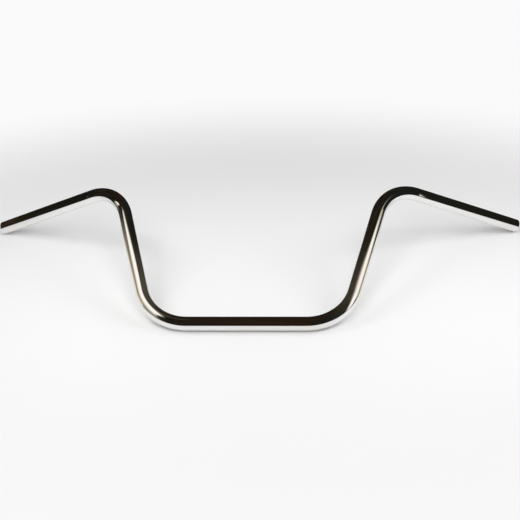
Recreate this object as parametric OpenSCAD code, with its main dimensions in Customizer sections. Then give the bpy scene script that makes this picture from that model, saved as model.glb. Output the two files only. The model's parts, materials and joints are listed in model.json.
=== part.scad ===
// Ape hanger handlebar: one steel tube bent four times, open at both ends.
// Units are millimetres. X runs along the clamp section, Z is up.
// The origin is the centre of the clamp section, on the axis of the tube.
// The bar lies as it rests on a flat floor: the clamp section and the two grip
// ends touch the floor, and the top bends stand clear of it.

/* [Part] */
// Which sub-part to draw

/* [Tube] */
// Outside diameter of the straight tube, which clamps, levers and grips fit
tube_d = 22.2; // [16:0.1:32]
// Thickness of the tube's wall
wall_t = 2; // [1.4:0.1:4]
// Depth that both faces of the wall draw in by where the tube is bent
bend_draw = 0.04; // [0.02:0.01:0.1]
// Width of the bevel around the outer edge of each open end
outer_bevel = 0.8; // [0.1:0.1:0.8]
// Width of the bevel around the inner edge of each open end
inner_bevel = 0.4; // [0.1:0.1:0.5]

/* [Clamp section] */
// Straight length between the two lower bends
clamp_len = 182; // [80:1:320]

/* [Bends] */
// Radius of every bend, on the axis of the tube
bend_r = 76; // [50:1:110]
// Angle that each lower bend turns through, from the clamp section to the riser
lower_bend_deg = 75; // [45:1:90]
// Angle that each top bend turns through, from the riser to the grip
top_bend_deg = 75; // [50:1:100]
// Roll of the top bend out of the plane of the risers, which brings the grips back
pullback_deg = 32; // [15:1:50]

/* [Straights] */
// Straight length of each riser, between its two bends
riser_len = 150; // [80:1:400]
// Straight length from each top bend to the open end
grip_len = 202; // [120:1:300]

/* [Hidden] */
$fn = 72;
half_turn = 180;
quarter_turn = 90;
lean_steps = 6;
// Length by which a straight runs on into each bend that it meets
straight_lap = 0.4;
outer_r = tube_d / 2;
inner_r = outer_r - wall_t;

// Directions and places on the right half, in the plane of the risers.
// Axes here: X along the clamp section, Y up the risers, Z out of their plane.
riser_dir = [cos(lower_bend_deg), sin(lower_bend_deg), 0];
top_centre_dir = [sin(lower_bend_deg) * cos(pullback_deg),
                  -cos(lower_bend_deg) * cos(pullback_deg),
                  -sin(pullback_deg)];
grip_dir = cos(top_bend_deg) * riser_dir + sin(top_bend_deg) * top_centre_dir;
lower_bend_end = [clamp_len / 2 + bend_r * sin(lower_bend_deg),
                  bend_r * (1 - cos(lower_bend_deg)),
                  0];
top_bend_start = lower_bend_end + riser_len * riser_dir;
top_bend_end = top_bend_start + bend_r * sin(top_bend_deg) * riser_dir
             + bend_r * (1 - cos(top_bend_deg)) * top_centre_dir;
rim_centre = top_bend_end + (grip_len - outer_bevel) * grip_dir;

// The lean of the riser plane above the floor follows from the contact of the
// lowest point of each grip's rim with the floor that the clamp section lies on.
rim_reach = norm([rim_centre[1], rim_centre[2]]);
flat_lean = atan2(-rim_centre[2], rim_centre[1]);
function drop_at(lean) = grip_dir[1] * sin(lean) + grip_dir[2] * cos(lean);
function rim_lift(lean) = outer_r * sqrt(1 - pow(drop_at(lean), 2)) - outer_r;
function lean_after(steps) = steps == 0
    ? flat_lean
    : flat_lean + asin(rim_lift(lean_after(steps - 1)) / rim_reach);
riser_lean = lean_after(lean_steps);

// Ring that is the tube's section in a bend, a little drawn in all round
module bent_section() {
    difference() {
        circle(r = outer_r - bend_draw);
        circle(r = inner_r + bend_draw);
    }
}

// Bend that starts at the origin along X and turns towards Y, with what
// follows placed at its far end, along the new direction
module bend(deg) {
    translate([0, bend_r, 0]) {
        rotate([0, 0, -quarter_turn])
            rotate_extrude(angle = deg)
                translate([bend_r, 0])
                    bent_section();
        rotate([0, 0, deg])
            translate([0, -bend_r, 0])
                children();
    }
}

// Plain straight along X from the origin, running on into the bend at each end
module straight(len) {
    rotate([0, quarter_turn, 0])
        rotate_extrude()
            translate([inner_r, -straight_lap])
                square([wall_t, len + 2 * straight_lap]);
}

// Straight along X whose far end is open and bevelled outside and inside
module open_straight(len) {
    rotate([0, quarter_turn, 0])
        rotate_extrude()
            polygon([
                [inner_r, -straight_lap],
                [outer_r, -straight_lap],
                [outer_r, len - outer_bevel],
                [outer_r - outer_bevel, len],
                [inner_r + inner_bevel, len],
                [inner_r, len - inner_bevel]
            ]);
}

// Everything to the right of the clamp section
module arm() {
    translate([clamp_len / 2, 0, 0])
        bend(lower_bend_deg) {
            straight(riser_len);
            translate([riser_len, 0, 0])
                rotate([half_turn + pullback_deg, 0, 0])
                    bend(top_bend_deg)
                        open_straight(grip_len);
        }
}

// The whole bar, leaned back until both grip ends meet the floor
module handlebar_tube() {
    color("silver")
        rotate([riser_lean, 0, 0]) {
            translate([-clamp_len / 2, 0, 0])
                straight(clamp_len);
            arm();
            mirror([1, 0, 0])
                arm();
        }
}

handlebar_tube();
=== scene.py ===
import json
import math
from typing import NamedTuple

import bpy
import numpy as np
from bpy.props import FloatProperty, FloatVectorProperty, IntProperty, PointerProperty
from mathutils import Matrix, Vector


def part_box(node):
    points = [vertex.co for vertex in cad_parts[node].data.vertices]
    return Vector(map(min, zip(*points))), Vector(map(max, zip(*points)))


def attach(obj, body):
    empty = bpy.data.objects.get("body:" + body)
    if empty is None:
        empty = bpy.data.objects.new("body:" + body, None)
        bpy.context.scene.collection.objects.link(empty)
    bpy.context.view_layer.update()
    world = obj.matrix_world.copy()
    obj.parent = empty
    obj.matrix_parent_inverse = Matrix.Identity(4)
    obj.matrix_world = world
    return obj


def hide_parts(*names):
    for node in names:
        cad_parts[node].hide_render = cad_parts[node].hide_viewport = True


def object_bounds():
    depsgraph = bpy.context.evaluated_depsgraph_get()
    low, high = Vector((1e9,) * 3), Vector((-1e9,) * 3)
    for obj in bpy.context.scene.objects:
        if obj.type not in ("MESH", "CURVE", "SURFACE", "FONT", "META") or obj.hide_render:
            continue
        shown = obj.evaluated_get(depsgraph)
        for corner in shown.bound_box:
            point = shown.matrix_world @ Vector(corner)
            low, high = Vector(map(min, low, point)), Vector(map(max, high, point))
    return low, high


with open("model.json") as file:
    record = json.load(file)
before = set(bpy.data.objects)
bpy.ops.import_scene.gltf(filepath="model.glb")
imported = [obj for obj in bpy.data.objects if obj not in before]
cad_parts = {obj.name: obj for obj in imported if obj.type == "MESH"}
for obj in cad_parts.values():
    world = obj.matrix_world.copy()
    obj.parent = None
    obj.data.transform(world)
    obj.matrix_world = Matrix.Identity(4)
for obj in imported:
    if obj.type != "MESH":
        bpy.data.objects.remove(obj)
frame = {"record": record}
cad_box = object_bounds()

bl_info = {
    "name": "Ape hanger handlebar",
    "version": (1, 0, 0),
    "blender": (4, 5, 0),
    "location": "3D View > Sidebar > Handlebar",
    "description": "Chromed bent handlebar tube lying on a pale studio floor",
    "category": "Object",
}

MOUNTS = {mount["name"]: mount for mount in frame["record"]["mounts"]}
TUBE_R_MM = MOUNTS["clamp_seat"]["dims"]["r_mm"]
BORE_R_MM = MOUNTS["right_end_bore"]["dims"]["r_mm"]
MILLIMETRE = 0.001
# How far the tube's box may be from its solid's, and the two corners that are compared
BOX_SLACK = 0.0006
LOW_CORNER, HIGH_CORNER = 0, 6
LEAN_ROUNDS = 6
SENSOR_MM = 36.0

# Grain of the finish, in features for each metre: along the tube and twice across it, or all ways
WIPE_GRAIN = (14.0, 55.0, 55.0)
LINE_GRAIN = (22.0, 1500.0, 1500.0)
RIPPLE_GRAIN = (30.0, 90.0, 90.0)
PLATING_EDGE_GRAIN = 260.0
CLOUD_GRAIN = 16.0
OXIDE_GRAIN = 120.0
PIT_GRAIN = 900.0
FILM_GRAIN = 30.0
# Values of the noise between which each pattern comes in
WIPE_RANGE = (0.42, 0.78)
CLOUD_RANGE = (0.35, 0.7)
OXIDE_RANGE = (0.4, 0.68)
FILM_RANGE = (0.2, 0.7)
# The plating starts to thin at this share of its reach, and oxide takes this share of the shine
THINNING_SHARE = 0.35
OXIDE_DULL_SHARE = 0.55
# Runs from the middle between which the film comes in and goes
FILM_RISE = (0.11, 0.19)
FILM_FALL = (0.19, 0.30)
# Share of the film that the right half lacks, and the runs between which the lack comes in
FILM_RIGHT_LOSS_SHARE = 0.45
FILM_SIDES = (-0.05, 0.05)
# Share of the film that isn't in patches
FILM_EVEN_SHARE = 0.6

# The floor: half its width, its mottle, and the long oval outside which it fades
FLOOR_HALF = 9.0
FLOOR_MOTTLE_GRAIN = 3.0
FLOOR_MOTTLE_SHARE = 0.985
FADE_CENTRE = (0.0, 0.15, 0.0)
FADE_STRETCH = (0.67, 1.0, 1.0)

# The dark room: its patches, and the places along X between which its colours change
ROOM_GRAIN = 1.3
ROOM_CLOUD_RANGE = (0.45, 0.75)
ROOM_ASIDE = (0.1, 1.5)
ROOM_RIGHT = (0.2, 1.1)
# The dome and the low wall with round corners that the room is made of
DOME_REACH = 4.0
DOME_ROWS, DOME_STEPS = 12, 48
WALL_HEIGHT = 0.13
WALL_ROUNDNESS = 0.5
WALL_STEPS = 96

# Lamps: place, the point they face, width and depth, spread in degrees, share of their radiance
LAMPS = {
    "key": ((0.0, -1.25, 1.9), (0.0, 0.15, 0.0), (2.0, 1.3), 180, 1.0),
    "left_side": ((-0.62, 0.10, 0.75), (-0.19, 0.1, 0.0), (0.35, 0.35), 90, 1.0),
    "right_side": ((0.79, 0.10, 0.62), (0.19, 0.1, 0.0), (0.45, 0.45), 90, 0.8),
}

# A card's lowest and highest rise in degrees and place along Y, each with its step
CARD_RISES = (-6.0, 100.0, 2.0)
CARD_PLACES = (-0.66, 0.52, 0.01)
# Half the width of a card's soft edges along Y, and of its foot in degrees
CARD_EDGE_SOFT = 0.05
CARD_FOOT_SOFT = 1.5
# Edges of each card: rise in degrees, share of its light, front and back edge along Y
CARD_EDGES = {
    "left_card": (
        (-6, 0.26, -0.58, 0.30),
        (18, 0.26, -0.49, 0.27),
        (26, 0.34, -0.40, 0.24),
        (34, 0.44, -0.37, 0.20),
        (42, 0.70, -0.33, 0.20),
        (50, 0.95, -0.29, 0.22),
        (58, 1.00, -0.26, 0.240),
        (66, 1.00, -0.23, 0.220),
        (74, 1.00, -0.17, 0.195),
        (82, 0.98, -0.02, 0.178),
        (86, 0.95, 0.07, 0.170),
        (90, 0.50, 0.12, 0.165),
        (93, 0.00, 0.14, 0.165),
        (100, 0.00, 0.15, 0.165),
    ),
    "right_card": (
        (-6, 0.90, -0.24, 0.30),
        (26, 1.00, -0.22, 0.28),
        (34, 1.00, -0.18, 0.25),
        (42, 1.00, -0.14, 0.225),
        (50, 0.95, -0.11, 0.18),
        (58, 0.80, -0.07, 0.135),
        (66, 0.60, -0.02, 0.11),
        (74, 0.34, 0.01, 0.11),
        (82, 0.20, 0.05, 0.11),
        (90, 0.10, 0.09, 0.13),
        (98, 0.00, 0.10, 0.14),
    ),
}
# Foot of each card: place along Y and rise in degrees, clear of what the grips show
CARD_FEET = {
    "left_card": ((-0.20, -7), (-0.06, 0.8), (0.10, 17.6), (0.20, 25.6), (0.27, 30)),
    "right_card": ((-0.25, -7), (-0.10, 4), (0.0, 16), (0.10, 25), (0.20, 33), (0.27, 37)),
}

# Strips beside the risers: at each place along Y, heights and the share of light at each
NEAR_STRIPS = {
    "left_strip": (
        (0.005, (0.016, 0.030, 0.046, 0.064, 0.100), (0.90, 0.80, 0.45, 0.32, 0.35)),
        (0.030, (0.018, 0.032, 0.050, 0.068, 0.104), (0.90, 0.80, 0.40, 0.28, 0.32)),
        (0.090, (0.020, 0.036, 0.056, 0.074, 0.108), (0.90, 0.80, 0.35, 0.22, 0.30)),
        (0.145, (0.030, 0.046, 0.062, 0.085, 0.136), (0.80, 0.60, 0.25, 0.21, 0.15)),
        (0.185, (0.050, 0.070, 0.090, 0.130, 0.176), (0.10, 0.10, 0.08, 0.00, 0.00)),
        (0.201, (0.070, 0.090, 0.110, 0.150, 0.200), (0.00, 0.00, 0.00, 0.00, 0.00)),
    ),
    "right_strip": (
        (0.030, (0.015, 0.040, 0.055, 0.070, 0.100), (0.35, 0.28, 0.50, 0.90, 1.00)),
        (0.090, (0.025, 0.050, 0.068, 0.085, 0.120), (0.30, 0.25, 0.50, 0.95, 1.00)),
        (0.130, (0.045, 0.065, 0.080, 0.100, 0.130), (0.10, 0.15, 0.30, 0.90, 1.00)),
        (0.160, (0.065, 0.085, 0.098, 0.115, 0.140), (0.00, 0.00, 0.12, 0.75, 0.90)),
        (0.190, (0.085, 0.105, 0.118, 0.130, 0.150), (0.00, 0.00, 0.30, 0.50, 0.30)),
    ),
    "left_glint_strip": (
        (0.2025, (0.095, 0.116, 0.124, 0.152), (0.22, 0.38, 0.85, 0.85)),
        (0.2095, (0.095, 0.116, 0.124, 0.152), (0.22, 0.38, 0.85, 0.85)),
    ),
}
# Light of a strip between which its tint goes from warm to its colour where lit
STRIP_TINT_RANGE = (0.2, 0.8)


def length_of(name, description, default):
    """A size in metres, shown in the scene's own unit."""
    return FloatProperty(
        name=name,
        description=description,
        default=default,
        min=0.0,
        unit="LENGTH",
        subtype="DISTANCE",
        precision=4,
    )


def place_of(name, description, default):
    """A place or a distance that may be negative, in metres."""
    return FloatProperty(
        name=name,
        description=description,
        default=default,
        unit="LENGTH",
        subtype="DISTANCE",
        precision=4,
    )


def angle_of(name, description, degrees):
    """An angle, given in degrees and kept in radians."""
    return FloatProperty(
        name=name,
        description=description,
        default=math.radians(degrees),
        unit="ROTATION",
        subtype="ANGLE",
    )


def share_of(name, description, default, most=1.0):
    """A share or a strength without a unit."""
    return FloatProperty(
        name=name,
        description=description,
        default=default,
        min=0.0,
        max=most,
        subtype="FACTOR",
        precision=3,
    )


def colour_of(name, description, default):
    """A colour, as the linear values that the shader takes."""
    return FloatVectorProperty(
        name=name,
        description=description,
        default=default,
        size=3,
        min=0.0,
        max=1.0,
        subtype="COLOR",
    )


class HandlebarTubeSizes(bpy.types.PropertyGroup):
    """Sizes of the bent tube, the same as those of the part's own solid."""

    tube_d: length_of("Tube diameter", "Outside diameter of the tube", 2e-3 * TUBE_R_MM)
    bore_d: length_of("Bore", "Inside diameter of the tube", 2e-3 * BORE_R_MM)
    clamp_len: length_of("Clamp section", "Straight length between the lower bends", 0.182)
    bend_r: length_of("Bend radius", "Radius of every bend, on the tube's axis", 0.076)
    lower_bend: angle_of("Lower bends", "Angle of each lower bend", 75)
    top_bend: angle_of("Top bends", "Angle of each top bend", 75)
    pullback: angle_of("Pullback", "Roll of the top bend that brings the grips back", 32)
    riser_len: length_of("Riser", "Straight length of each riser", 0.150)
    grip_len: length_of("Grip section", "Straight length to the open end", 0.202)
    outer_bevel: length_of("Outer bevel", "Bevel around the outer edge of an open end", 0.0008)
    inner_bevel: length_of("Inner bevel", "Bevel around the inner edge of an open end", 0.0004)
    inset: length_of("Inset", "How far the surface stays inside the solid's, all along", 0.00003)
    bend_inset: length_of("Bend inset", "How much further in it is halfway round a bend", 0.00005)
    sides: IntProperty(
        name="Sides", description="Faces around the tube", default=96, min=24, max=160
    )
    bend_step: angle_of("Bend step", "Turn between two rings of a bend", 1.5)
    straight_step: length_of("Straight step", "Distance between two rings of a straight", 0.006)


class HandlebarChromeLook(bpy.types.PropertyGroup):
    """Finish of the plating outside and of the bare steel inside."""

    chrome: colour_of("Chrome", "Colour of the plating", (0.86, 0.86, 0.865))
    chrome_warm: colour_of(
        "Warm chrome", "Colour of the plating where it is thinner", (0.84, 0.825, 0.80)
    )
    gloss: share_of("Roughness", "Roughness of the polished plating", 0.025)
    haze: share_of("Haze", "Roughness that the polishing haze adds", 0.05)
    ripple: share_of("Ripple", "Height of the polishing ripple, in millimetres", 0.006)
    film: share_of("Film", "Share of the light that the film on the lower bends scatters", 0.07)
    film_colour: colour_of("Film colour", "Colour of that film", (0.80, 0.68, 0.46))
    film_gloss: share_of("Film roughness", "Roughness of that film", 0.9)
    bore: colour_of("Bore steel", "Colour of the bare steel inside", (0.20, 0.185, 0.17))
    bore_gloss: share_of("Bore roughness", "Roughness of the bare steel inside", 0.42)
    bore_oxide: colour_of("Bore oxide", "Colour of the oxide inside", (0.085, 0.06, 0.042))
    oxide_gloss: share_of("Oxide roughness", "Roughness that the oxide adds", 0.25)
    pits: share_of("Pits", "Depth of the pits in the bare steel, in millimetres", 0.05)
    plating_reach: length_of(
        "Plating reach", "How far the plating reaches into an open end", 0.018
    )
    plating_edge: length_of("Plating edge", "How uneven the plating's inner edge is", 0.006)


class HandlebarStudio(bpy.types.PropertyGroup):
    """Camera, floor, lamps and the dark room that the chrome reflects."""

    camera_x: place_of("Camera X", "Place of the camera along X", 0.13874)
    camera_y: place_of("Camera Y", "Place of the camera along Y", -1.56926)
    camera_z: place_of("Camera Z", "Height of the camera", 1.06740)
    camera_yaw: angle_of("Yaw", "Turn of the camera about the vertical", -4.153)
    camera_pitch: angle_of("Pitch", "How far the camera looks down", 31.233)
    camera_roll: angle_of("Roll", "Roll of the camera about its own axis", -2.296)
    lens: FloatProperty(
        name="Lens",
        description="Focal length for a sensor 36 mm wide",
        default=86.566,
        min=1.0,
        unit="CAMERA",
    )
    floor: colour_of("Floor", "Colour of the floor", (0.90, 0.90, 0.90))
    floor_gloss: share_of("Floor roughness", "Roughness of the floor", 0.5)
    fill: share_of("Fill", "Strength of the light from all round", 0.50, 4.0)
    key: share_of("Key lamp", "Radiance of the lamp over the camera", 3.4, 20.0)
    paper: share_of("Paper", "Radiance of the pale paper that the floor fades to", 0.955, 4.0)
    fade_from: length_of("Fade from", "Distance at which the floor starts to fade", 0.34)
    fade_to: length_of("Fade to", "Distance at which the floor has faded", 0.74)
    side: share_of("Side lamps", "Radiance of the lamps at the two sides", 1.15, 20.0)
    card: share_of("Cards", "Radiance of the lit cards that the chrome shows", 1.13, 4.0)
    card_colour: colour_of("Card colour", "Colour of the lit cards", (1.0, 0.985, 0.94))
    card_warm: colour_of(
        "Warm card", "Tint of a card where its light fades", (0.97, 0.87, 0.73)
    )
    card_reach: length_of(
        "Card reach", "Distance of the cards from the axis they bend round", 0.50
    )
    card_axis_x: length_of("Card axis X", "Distance of that axis from the middle", 0.18)
    card_axis_z: length_of("Card axis Z", "Height of that axis", 0.05)
    strip_x: length_of("Strip X", "Distance of the near strips from the middle", 0.27)
    strip_colour: colour_of(
        "Strip colour", "Tint of the near strips where lit", (1.0, 0.96, 0.77)
    )
    strip_warm: colour_of(
        "Warm strip", "Tint of the near strips where dim", (1.0, 0.82, 0.58)
    )
    wall_side: length_of("Wall side", "Half the width of the floor that the chrome shows", 0.70)
    wall_front: place_of("Wall front", "Front edge of the floor that the chrome shows", -0.60)
    wall_back: place_of("Wall back", "Back edge of the floor that the chrome shows", 0.48)
    room: colour_of("Room", "Colour of the dark room to the left", (0.009, 0.0088, 0.0065))
    room_olive: colour_of(
        "Olive room", "Colour of the dark room to the right", (0.0122, 0.0125, 0.0100)
    )
    room_brown: colour_of(
        "Brown room", "Colour of the dark room in the middle", (0.017, 0.0098, 0.0058)
    )
    room_warm: colour_of(
        "Warm room", "Colour of the room's paler, warmer patches", (0.035, 0.024, 0.014)
    )


class Wire:
    """An output socket, on which +, - and * add the Math nodes that work them out."""

    def __init__(self, nodes, socket):
        self.nodes = nodes
        self.socket = socket

    def maths(self, operation, *values):
        return self.nodes.add(
            "ShaderNodeMath", {"operation": operation}, dict(enumerate(values))
        )

    def __add__(self, other):
        return self.maths("ADD", self, other)

    def __radd__(self, other):
        return self.maths("ADD", other, self)

    def __sub__(self, other):
        return self.maths("SUBTRACT", self, other)

    def __rsub__(self, other):
        return self.maths("SUBTRACT", other, self)

    def __mul__(self, other):
        return self.maths("MULTIPLY", self, other)

    def __rmul__(self, other):
        return self.maths("MULTIPLY", other, self)

    def __abs__(self):
        return self.maths("ABSOLUTE", self)


class Nodes:
    """Adds nodes to the tree of one material or world."""

    def __init__(self, owner):
        owner.use_nodes = True
        self.tree = owner.node_tree
        self.tree.nodes.clear()

    def add(self, kind, settings=None, values=None, out=0):
        """A node of this type with its settings and socket values or links, as its output."""
        node = self.tree.nodes.new(kind)
        for name, value in (settings or {}).items():
            setattr(node, name, value)
        for name, value in (values or {}).items():
            if isinstance(value, Wire):
                self.tree.links.new(value.socket, node.inputs[name])
            else:
                node.inputs[name].default_value = value
        return Wire(self, node.outputs[out]) if node.outputs else None

    def mix(self, share, first, second):
        """Two colours mixed by a share."""
        return self.add(
            "ShaderNodeMix",
            {"data_type": "RGBA"},
            {0: share, 6: opaque(first), 7: opaque(second)},
            out=2,
        )

    def between(self, value, low, high):
        """0 where the value is low, 1 where it is high, and smooth in between."""
        return self.add(
            "ShaderNodeMapRange",
            {"interpolation_type": "SMOOTHSTEP"},
            {"Value": value, "From Min": low, "From Max": high, "To Min": 0.0, "To Max": 1.0},
        )

    def noise(self, vector, scale=1.0, detail=2.0, roughness=0.5):
        """Noise from 0 to 1 at a scale in features for each metre."""
        return self.add(
            "ShaderNodeTexNoise",
            {"noise_dimensions": "3D"},
            {"Vector": vector, "Scale": scale, "Detail": detail, "Roughness": roughness},
        )

    def stretched(self, vector, scales):
        """The vector with each of its parts scaled."""
        return self.add("ShaderNodeVectorMath", {"operation": "MULTIPLY"}, {0: vector, 1: scales})

    def distance(self, first, second):
        """How far two places are from each other."""
        return self.add(
            "ShaderNodeVectorMath", {"operation": "DISTANCE"}, {0: first, 1: second}, out=1
        )

    def place(self):
        """The place of the point that is lit."""
        return self.add("ShaderNodeNewGeometry")

    def attribute(self, name, out=2):
        """A value that the mesh carries: 1 is the vector, 2 the number."""
        return self.add("ShaderNodeAttribute", {"attribute_name": name}, out=out)


def opaque(colour):
    """A colour with its alpha, or the wire as it is."""
    return colour if isinstance(colour, Wire) else (*colour[:3], 1.0)


class Station(NamedTuple):
    """A place on the tube's axis: its three directions, the run from the middle, how bent it is."""

    place: np.ndarray
    way: np.ndarray
    across: np.ndarray
    up: np.ndarray
    run: float
    bent: float

    def moved(self, distance):
        """The station this far ahead."""
        return self._replace(place=self.place + self.way * distance, run=self.run + distance)


class Ring(NamedTuple):
    """A ring of points round the axis at a station."""

    station: Station
    radius: float
    in_bore: bool = False


def turned(vector, axis, angle):
    """The vector turned about a unit axis."""
    return (
        vector * math.cos(angle)
        + np.cross(axis, vector) * math.sin(angle)
        + axis * (axis @ vector) * (1 - math.cos(angle))
    )


class TubeWalk:
    """Walks along the tube's axis from the clamp section's middle, with a station at each step."""

    def __init__(self):
        self.place = np.zeros(3)
        self.way, self.across, self.up = np.eye(3)
        self.run = 0.0
        self.bent = 0.0
        self.stations = [self.here()]

    def here(self):
        return Station(self.place, self.way, self.across, self.up, self.run, self.bent)

    def straight(self, length, step):
        count = max(1, round(length / step))
        for _ in range(count):
            self.place = self.place + self.way * length / count
            self.run += length / count
            self.stations.append(self.here())

    def bend(self, radius, angle, roll, step):
        """A bend towards the across direction rolled about the way ahead."""
        toward = math.cos(roll) * self.across + math.sin(roll) * self.up
        start, way, across, up = self.place, self.way, self.across, self.up
        axis = np.cross(way, toward)
        count = max(1, round(angle / step))
        for index in range(1, count + 1):
            turn = angle * index / count
            self.place = (
                start
                + radius * math.sin(turn) * way
                + radius * (1 - math.cos(turn)) * toward
            )
            self.way = turned(way, axis, turn)
            self.across = turned(across, axis, turn)
            self.up = turned(up, axis, turn)
            self.run += radius * angle / count
            self.bent = math.sin(math.pi * index / count) ** 2
            self.stations.append(self.here())
        self.bent = 0.0


def right_half(sizes):
    """Stations of the right half, with the riser lying in the XY plane."""
    walk = TubeWalk()
    walk.straight(sizes.clamp_len / 2, sizes.straight_step)
    walk.bend(sizes.bend_r, sizes.lower_bend, 0.0, sizes.bend_step)
    walk.straight(sizes.riser_len, sizes.straight_step)
    walk.bend(sizes.bend_r, sizes.top_bend, math.pi + sizes.pullback, sizes.bend_step)
    walk.straight(sizes.grip_len - sizes.outer_bevel - sizes.inset, sizes.straight_step)
    return walk.stations


def lean_to_floor(rim, way, radius):
    """Lean about X at which the rim's lowest point is as low as the clamp section's."""
    reach = math.hypot(rim[1], rim[2])
    flat = lean = math.atan2(-rim[2], rim[1])
    for _ in range(LEAN_ROUNDS):
        drop = way[1] * math.sin(lean) + way[2] * math.cos(lean)
        lean = flat + math.asin((radius * math.sqrt(1 - drop * drop) - radius) / reach)
    return lean


def leaned(station, turn):
    """The station turned with the whole bar."""
    place, way, across, up = (turn @ vector for vector in station[:4])
    return Station(place, way, across, up, station.run, station.bent)


def mirrored(station):
    """The same station on the other half of the bar."""
    mirror = np.array([-1.0, 1.0, 1.0])
    place, way, across, up = (vector * mirror for vector in station[:4])
    return Station(place, -way, across, up, -station.run, station.bent)


def whole_run(sizes):
    """Stations from the left open end to the right one, leaned back onto the floor."""
    half = right_half(sizes)
    lean = lean_to_floor(half[-1].place, half[-1].way, sizes.tube_d / 2)
    turn = np.array(Matrix.Rotation(lean, 3, "X"))
    right = [leaned(station, turn) for station in half]
    left = [mirrored(station) for station in reversed(right[1:])]
    return left + right


def tube_rings(sizes):
    """Rings along the outside, in at the right end, back inside, and out at the left end."""
    stations = whole_run(sizes)
    outer, inner = sizes.tube_d / 2 - sizes.inset, sizes.bore_d / 2
    bevel, inner_bevel = sizes.outer_bevel, sizes.inner_bevel
    first, last = stations[0], stations[-1]
    outside = [Ring(s, outer - sizes.bend_inset * s.bent) for s in stations]
    right_face = [
        Ring(last.moved(bevel), outer - bevel),
        Ring(last.moved(bevel), inner + inner_bevel),
    ]
    bore = [
        last.moved(bevel - inner_bevel),
        *reversed(stations),
        first.moved(inner_bevel - bevel),
    ]
    inside = [Ring(s, inner, in_bore=True) for s in bore]
    left_face = [
        Ring(first.moved(-bevel), inner + inner_bevel),
        Ring(first.moved(-bevel), outer - bevel),
    ]
    return outside + right_face + inside + left_face


def ring_faces(count, sides):
    """Quads from each ring to the next, the last ring joined to the first."""
    ring = np.arange(count)[:, None]
    side = np.arange(sides)[None, :]
    here, there = ring * sides, (ring + 1) % count * sides
    beside = (side + 1) % sides
    corners = [here + side, here + beside, there + beside, there + side]
    return np.stack(corners, axis=-1).reshape(-1, 4)


def corner_normals(rings, faces, radials, ways):
    """A normal for each face's corners, square to the wall between its two rings."""
    sides = len(faces) // len(rings)
    normals = np.zeros((len(faces), 4, 3))
    for index, here in enumerate(rings):
        there = rings[(index + 1) % len(rings)]
        run_step = there.station.run - here.station.run
        radius_step = there.radius - here.radius
        size = math.hypot(run_step, radius_step)
        out, along = run_step / size, -radius_step / size
        rows = slice(index * sides, (index + 1) * sides)
        corners = faces[rows]
        normals[rows] = out * radials[corners] + along * ways[corners]
    return normals


def carry(mesh, name, values):
    """Gives each point of the mesh a number or a vector that its material reads."""
    values = np.asarray(values, dtype=np.float32)
    kind, field = ("FLOAT", "value") if values.ndim == 1 else ("FLOAT_VECTOR", "vector")
    mesh.attributes.new(name, kind, "POINT").data.foreach_set(field, values.ravel())


def tube_mesh(sizes):
    """The tube's wall as one closed mesh with exact normals and what its finish reads."""
    rings = tube_rings(sizes)
    sides = sizes.sides
    angles = np.arange(sides) * 2 * math.pi / sides
    circle = np.column_stack([np.cos(angles), np.sin(angles)])
    radials = np.concatenate([circle @ np.stack([r.station.across, r.station.up]) for r in rings])
    ways = np.repeat([ring.station.way for ring in rings], sides, axis=0)
    places = np.repeat([ring.station.place for ring in rings], sides, axis=0)
    radii = np.repeat([ring.radius for ring in rings], sides)
    points = places + radii[:, None] * radials
    faces = ring_faces(len(rings), sides)

    mesh = bpy.data.meshes.new("chromed_bar")
    mesh.from_pydata(points.tolist(), [], faces.tolist())
    mesh.update()
    mesh.shade_smooth()
    normals = corner_normals(rings, faces, radials, ways)
    mesh.normals_split_custom_set(normals.reshape(-1, 3).tolist())

    runs = np.repeat([ring.station.run for ring in rings], sides)
    round_tube = radii[:, None] * np.tile(circle, (len(rings), 1))
    in_bore = np.repeat([ring.in_bore for ring in rings], sides)
    carry(mesh, "tube_space", np.column_stack([runs, round_tube]))
    carry(mesh, "along", runs)
    carry(mesh, "bore_depth", np.where(in_bore, runs.max() - np.abs(runs), 0.0))
    if mesh.validate(verbose=True):
        raise RuntimeError("the tube's mesh had faces that had to be mended")
    return mesh


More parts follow.
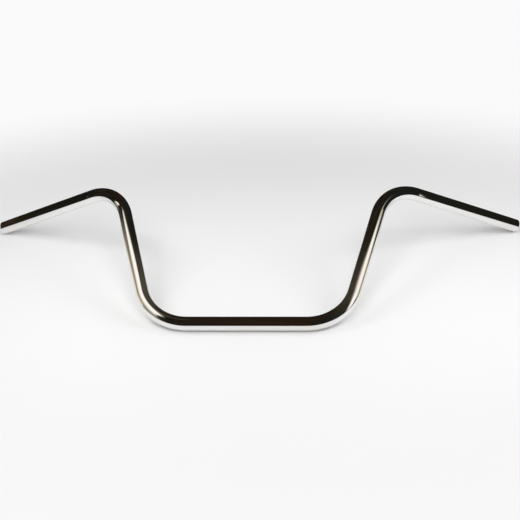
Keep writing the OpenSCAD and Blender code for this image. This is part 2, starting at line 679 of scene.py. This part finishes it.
def chrome_material(look):
    """Polished plating outside that fades to bare, oxidised steel inside."""
    material = bpy.data.materials.new("polished_chrome")
    nodes = Nodes(material)
    space = nodes.attribute("tube_space", out=1)
    along = nodes.attribute("along")
    depth = nodes.attribute("bore_depth")

    # The plating thins out with depth in the bore, along an uneven edge
    uneven = look.plating_edge * nodes.noise(space, PLATING_EDGE_GRAIN, 3.0)
    thinning = THINNING_SHARE * look.plating_reach
    bare = nodes.between(depth + uneven, thinning, look.plating_reach)

    # Soft wipe marks and polishing lines that run along the tube
    wipes = nodes.between(nodes.noise(nodes.stretched(space, WIPE_GRAIN), detail=3.0), *WIPE_RANGE)
    lines = nodes.noise(nodes.stretched(space, LINE_GRAIN))
    clouds = nodes.between(nodes.noise(space, CLOUD_GRAIN), *CLOUD_RANGE)
    plating = nodes.mix(clouds, look.chrome, look.chrome_warm)
    plating_rough = look.gloss + look.haze * wipes * lines

    # Oxide clouds on the bare steel
    oxide = nodes.between(nodes.noise(space, OXIDE_GRAIN, 4.0, 0.6), *OXIDE_RANGE)
    steel = nodes.mix(oxide, look.bore, look.bore_oxide)
    steel_rough = look.bore_gloss + look.oxide_gloss * oxide

    # A faint ripple from polishing by hand, and the pits of the bare steel
    ripple = nodes.noise(nodes.stretched(space, RIPPLE_GRAIN), detail=1.0)
    pits = nodes.noise(space, PIT_GRAIN, 3.0, 0.6)
    height = look.ripple * ripple + look.pits * bare * pits
    relief = nodes.add(
        "ShaderNodeBump", None, {"Strength": 1.0, "Distance": MILLIMETRE, "Height": height}
    )
    metal_surface = nodes.add(
        "ShaderNodeBsdfPrincipled",
        None,
        {
            "Base Color": nodes.mix(bare, plating, steel),
            "Metallic": 1.0 - OXIDE_DULL_SHARE * bare * oxide,
            "Roughness": plating_rough + bare * (steel_rough - plating_rough),
            "Normal": relief,
        },
    )

    # A thin, warm film of handling on the lower bends and the foot of the risers
    run = abs(along)
    handled = nodes.between(run, *FILM_RISE) * (1.0 - nodes.between(run, *FILM_FALL))
    handled = handled * (1.0 - FILM_RIGHT_LOSS_SHARE * nodes.between(along, *FILM_SIDES))
    patches = nodes.between(nodes.noise(space, FILM_GRAIN, 3.0), *FILM_RANGE)
    cover = FILM_EVEN_SHARE + (1.0 - FILM_EVEN_SHARE) * patches
    share = look.film * handled * cover * (1.0 - bare)
    film = nodes.add(
        "ShaderNodeBsdfPrincipled",
        None,
        {"Base Color": opaque(look.film_colour), "Roughness": look.film_gloss},
    )
    surface = nodes.add("ShaderNodeMixShader", None, {0: share, 1: metal_surface, 2: film})
    nodes.add("ShaderNodeOutputMaterial", None, {"Surface": surface})
    return material


def floor_material(studio):
    """Pale, smooth floor with a soft sheen, which fades to plain lit paper away from the bar."""
    material = bpy.data.materials.new("pale_floor")
    nodes = Nodes(material)
    place = nodes.place()
    mottle = nodes.noise(place, FLOOR_MOTTLE_GRAIN)
    dim = tuple(FLOOR_MOTTLE_SHARE * part for part in studio.floor)
    floor = nodes.add(
        "ShaderNodeBsdfPrincipled",
        None,
        {"Base Color": nodes.mix(mottle, studio.floor, dim), "Roughness": studio.floor_gloss},
    )
    paper = nodes.add("ShaderNodeEmission", None, {"Strength": studio.paper})
    distance = nodes.distance(nodes.stretched(place, FADE_STRETCH), FADE_CENTRE)
    far = nodes.between(distance, studio.fade_from, studio.fade_to)
    shader = nodes.add("ShaderNodeMixShader", None, {0: far, 1: floor, 2: paper})
    nodes.add("ShaderNodeOutputMaterial", None, {"Surface": shader})
    material.cycles.emission_sampling = "NONE"
    return material


def screen_material(name, strength, colour_from):
    """A screen that glows with a colour worked out from its nodes, and lights nothing."""
    material = bpy.data.materials.new(name)
    nodes = Nodes(material)
    shader = nodes.add(
        "ShaderNodeEmission", None, {"Color": colour_from(nodes), "Strength": strength}
    )
    nodes.add("ShaderNodeOutputMaterial", None, {"Surface": shader})
    material.cycles.emission_sampling = "NONE"
    return material


def room_material(studio):
    """Dark room seen in the chrome: brown in the middle, olive to the right, patchy elsewhere."""

    def colour(nodes):
        place = nodes.place()
        across = nodes.add("ShaderNodeSeparateXYZ", None, {0: place})
        aside = nodes.between(abs(across), *ROOM_ASIDE)
        right = nodes.between(across, *ROOM_RIGHT)
        dark = nodes.mix(aside, studio.room_brown, studio.room)
        dark = nodes.mix(right, dark, studio.room_olive)
        clouds = nodes.between(nodes.noise(place, ROOM_GRAIN, 3.0), *ROOM_CLOUD_RANGE)
        return nodes.mix(clouds * (1.0 - right), dark, studio.room_warm)

    return screen_material("dark_room", 1.0, colour)


def card_material(studio):
    """Lit card that fades into the dark room, warmer where it fades."""

    def colour(nodes):
        glow = nodes.attribute("glow")
        tint = nodes.mix(glow, studio.card_warm, studio.card_colour)
        return nodes.mix(glow, studio.room, tint)

    return screen_material("lit_card", studio.card, colour)


def strip_material(studio):
    """Narrow card beside a riser, brown where its light is dim."""

    def colour(nodes):
        glow = nodes.attribute("glow")
        lit = nodes.between(glow, *STRIP_TINT_RANGE)
        tint = nodes.mix(lit, studio.strip_warm, studio.strip_colour)
        return nodes.mix(glow, studio.room, tint)

    return screen_material("near_strip", studio.card, colour)


def stage_object(name, points, faces, material):
    """A piece of the studio, which isn't part of the handlebar."""
    mesh = bpy.data.meshes.new(name)
    mesh.from_pydata(points, [], faces)
    mesh.update()
    mesh.materials.append(material)
    piece = bpy.data.objects.new(name, mesh)
    bpy.context.scene.collection.objects.link(piece)
    return piece


def screen(name, points, faces, material, glow=None):
    """A piece of the studio that only reflections show, with the glow of its points."""
    piece = stage_object(name, points, faces, material)
    piece.visible_camera = False
    piece.visible_diffuse = False
    piece.visible_transmission = False
    piece.visible_volume_scatter = False
    piece.visible_shadow = False
    if glow is not None:
        carry(piece.data, "glow", glow)


def grid_faces(rows, columns):
    """Quads of a grid whose points run along each row in turn."""
    first = (np.arange(rows - 1)[:, None] * columns + np.arange(columns - 1)).ravel()
    return np.stack([first, first + 1, first + columns + 1, first + columns], axis=-1)


def smooth(value, middle, half):
    """0 below the middle and 1 above it, with a soft step between."""
    share = np.clip((value - middle) / (2 * half) + 0.5, 0.0, 1.0)
    return share * share * (3 - 2 * share)


def steps(low, high, step):
    """Values from the low one to the high one."""
    return np.arange(low, high + step / 2, step)


def card_glow(name, rise, y):
    """Share of a card's light at each rise and place along Y."""
    stops, levels, fronts, backs = np.array(CARD_EDGES[name]).T
    foot_places, foot_rises = np.array(CARD_FEET[name]).T
    level = np.interp(rise, stops, levels)
    front = smooth(y, np.interp(rise, stops, fronts), CARD_EDGE_SOFT)
    back = 1 - smooth(y, np.interp(rise, stops, backs), CARD_EDGE_SOFT)
    above = smooth(rise, np.interp(y, foot_places, foot_rises), CARD_FOOT_SOFT)
    return level * front * back * above


def area_lamp(name, centre, aim, size, spread, radiance):
    """A soft lamp that faces a point, keeps within its spread and doesn't show in the chrome."""
    light = bpy.data.lights.new(name, "AREA")
    light.spread = math.radians(spread)
    light.shape = "RECTANGLE"
    light.size, light.size_y = size
    light.energy = radiance * math.pi * size[0] * size[1]
    lamp = bpy.data.objects.new(name, light)
    bpy.context.scene.collection.objects.link(lamp)
    lamp.location = centre
    lamp.rotation_euler = (Vector(aim) - Vector(centre)).to_track_quat("-Z", "Y").to_euler()
    lamp.visible_glossy = False


class HANDLEBAR_OT_place_camera(bpy.types.Operator):
    """Place the camera as the handlebar was photographed"""

    bl_idname = "handlebar.place_camera"
    bl_label = "Place the camera"

    def execute(self, context):
        studio = context.scene.handlebar_studio
        yaw, pitch, roll = studio.camera_yaw, studio.camera_pitch, studio.camera_roll
        level_way = Vector((math.sin(yaw), math.cos(yaw), 0.0))
        ahead = math.cos(pitch) * level_way - math.sin(pitch) * Vector((0, 0, 1))
        level = ahead.cross(Vector((0, 0, 1))).normalized()
        above = level.cross(ahead)
        right = math.cos(roll) * level + math.sin(roll) * above
        up = math.cos(roll) * above - math.sin(roll) * level
        turn = Matrix((right, up, -ahead)).transposed().to_4x4()
        turn.translation = (studio.camera_x, studio.camera_y, studio.camera_z)
        camera = bpy.data.objects.new("camera", bpy.data.cameras.new("camera"))
        camera.data.sensor_width = SENSOR_MM
        camera.data.lens = studio.lens
        camera.matrix_world = turn
        context.scene.collection.objects.link(camera)
        context.scene.camera = camera
        return {"FINISHED"}


class HANDLEBAR_OT_build_tube(bpy.types.Operator):
    """Build the chromed tube with its two open ends"""

    bl_idname = "handlebar.build_tube"
    bl_label = "Build the chromed tube"

    def execute(self, context):
        bar = bpy.data.objects.new("chromed_bar", tube_mesh(context.scene.handlebar_tube))
        context.scene.collection.objects.link(bar)
        bar.data.materials.append(chrome_material(context.scene.handlebar_chrome))
        for corner, limit in zip((LOW_CORNER, HIGH_CORNER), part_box("handlebar_tube")):
            gap = (Vector(bar.bound_box[corner]) - limit).length
            if gap > BOX_SLACK:
                raise RuntimeError(f"the tube's corner is {gap / MILLIMETRE:.2f} mm off its solid's")
        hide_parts("handlebar_tube")
        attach(bar, "root")
        return {"FINISHED"}


class HANDLEBAR_OT_set_studio(bpy.types.Operator):
    """Lay the pale floor and set the lamps and the dark room around it"""

    bl_idname = "handlebar.set_studio"
    bl_label = "Set the studio"

    def execute(self, context):
        studio = context.scene.handlebar_studio
        context.scene.view_settings.view_transform = "Standard"
        floor_z = cad_box[0].z
        corners = [(x * FLOOR_HALF, y * FLOOR_HALF, floor_z) for x, y in
                   ((-1, -1), (1, -1), (1, 1), (-1, 1))]
        stage_object("floor", corners, [(0, 1, 2, 3)], floor_material(studio))
        room = room_material(studio)
        self.dark_wall(studio, floor_z, room)
        self.dark_dome(floor_z, room)
        card = card_material(studio)
        self.lit_card(studio, "left_card", -1, card)
        self.lit_card(studio, "right_card", 1, card)
        strip = strip_material(studio)
        for name, rows in NEAR_STRIPS.items():
            self.near_strip(studio, name, rows, strip)
        for name, (centre, aim, size, spread, share) in LAMPS.items():
            radiance = share * (studio.key if name == "key" else studio.side)
            area_lamp(name, centre, aim, size, spread, radiance)
        self.surroundings(context.scene, studio)
        return {"FINISHED"}

    def dark_wall(self, studio, floor_z, material):
        """A low wall with round corners, which ends the floor's reflection."""
        middle = (studio.wall_front + studio.wall_back) / 2
        depth = (studio.wall_back - studio.wall_front) / 2
        points = []
        for index in range(WALL_STEPS):
            angle = 2 * math.pi * index / WALL_STEPS
            c, s = math.cos(angle), math.sin(angle)
            x = studio.wall_side * math.copysign(abs(c) ** WALL_ROUNDNESS, c)
            y = middle + depth * math.copysign(abs(s) ** WALL_ROUNDNESS, s)
            points += [(x, y, floor_z), (x, y, floor_z + WALL_HEIGHT)]
        count = len(points)
        faces = [(i, i + 1, (i + 3) % count, (i + 2) % count) for i in range(0, count, 2)]
        screen("dark_wall", points, faces, material)

    def dark_dome(self, floor_z, material):
        """The room beyond the wall and overhead."""
        points = []
        for row in range(DOME_ROWS + 1):
            rise = math.pi / 2 * row / DOME_ROWS
            radius = DOME_REACH * math.cos(rise)
            z = floor_z + DOME_REACH * math.sin(rise)
            for index in range(DOME_STEPS + 1):
                angle = 2 * math.pi * index / DOME_STEPS
                points.append((radius * math.cos(angle), radius * math.sin(angle), z))
        faces = grid_faces(DOME_ROWS + 1, DOME_STEPS + 1)
        screen("dark_dome", points, faces.tolist(), material)

    def lit_card(self, studio, name, side, material):
        """A card bent round one riser; its light fades at the edges and over the top."""
        rise, y = np.meshgrid(np.radians(steps(*CARD_RISES)), steps(*CARD_PLACES), indexing="ij")
        x = side * (studio.card_axis_x + studio.card_reach * np.cos(rise))
        z = studio.card_axis_z + studio.card_reach * np.sin(rise)
        glow = card_glow(name, np.degrees(rise), y).ravel()
        faces = grid_faces(*rise.shape)
        faces = faces[glow[faces].max(axis=1) > 0]
        points = np.stack([x, y, z], axis=-1).reshape(-1, 3)
        screen(name, points.tolist(), faces.tolist(), material, glow)

    def near_strip(self, studio, name, rows, material):
        """A narrow upright card beside a riser, which only the tube near it shows."""
        x = -studio.strip_x if name.startswith("left") else studio.strip_x
        points = [(x, y, z) for y, heights, _ in rows for z in heights]
        glow = [light for _, _, lights in rows for light in lights]
        faces = grid_faces(len(rows), len(rows[0][1]))
        screen(name, points, faces.tolist(), material, glow)

    def surroundings(self, scene, studio):
        """Pale surroundings for the eye and for gloss, and a soft fill for the rest."""
        world = bpy.data.worlds.new("pale_surroundings")
        nodes = Nodes(world)
        path = nodes.add("ShaderNodeLightPath").socket.node
        camera, glossy, through = (
            Wire(nodes, path.outputs[name])
            for name in ("Is Camera Ray", "Is Glossy Ray", "Is Transmission Ray")
        )
        seen = camera + glossy + through
        strength = studio.fill + (studio.paper - studio.fill) * seen
        background = nodes.add(
            "ShaderNodeBackground", None, {"Color": (1.0, 1.0, 1.0, 1.0), "Strength": strength}
        )
        nodes.add("ShaderNodeOutputWorld", None, {"Surface": background})
        scene.world = world


class VIEW3D_PT_handlebar(bpy.types.Panel):
    """Buttons and sizes for the handlebar"""

    bl_label = "Ape hanger handlebar"
    bl_space_type = "VIEW_3D"
    bl_region_type = "UI"
    bl_category = "Handlebar"

    def draw(self, context):
        for operator in OPERATORS:
            self.layout.operator(operator.bl_idname)
        for name in GROUPS:
            group = getattr(context.scene, name)
            column = self.layout.column(align=True)
            for field in group.__annotations__:
                column.prop(group, field)


GROUPS = {
    "handlebar_tube": HandlebarTubeSizes,
    "handlebar_chrome": HandlebarChromeLook,
    "handlebar_studio": HandlebarStudio,
}
OPERATORS = (
    HANDLEBAR_OT_place_camera,
    HANDLEBAR_OT_build_tube,
    HANDLEBAR_OT_set_studio,
)
CLASSES = (*GROUPS.values(), *OPERATORS, VIEW3D_PT_handlebar)


def register():
    for made in CLASSES:
        bpy.utils.register_class(made)
    for name, group in GROUPS.items():
        setattr(bpy.types.Scene, name, PointerProperty(type=group))


def unregister():
    for name in GROUPS:
        delattr(bpy.types.Scene, name)
    for made in reversed(CLASSES):
        bpy.utils.unregister_class(made)


def main():
    register()
    bpy.ops.handlebar.place_camera()
    bpy.ops.handlebar.build_tube()
    bpy.ops.handlebar.set_studio()


if __name__ == "__main__":
    main()
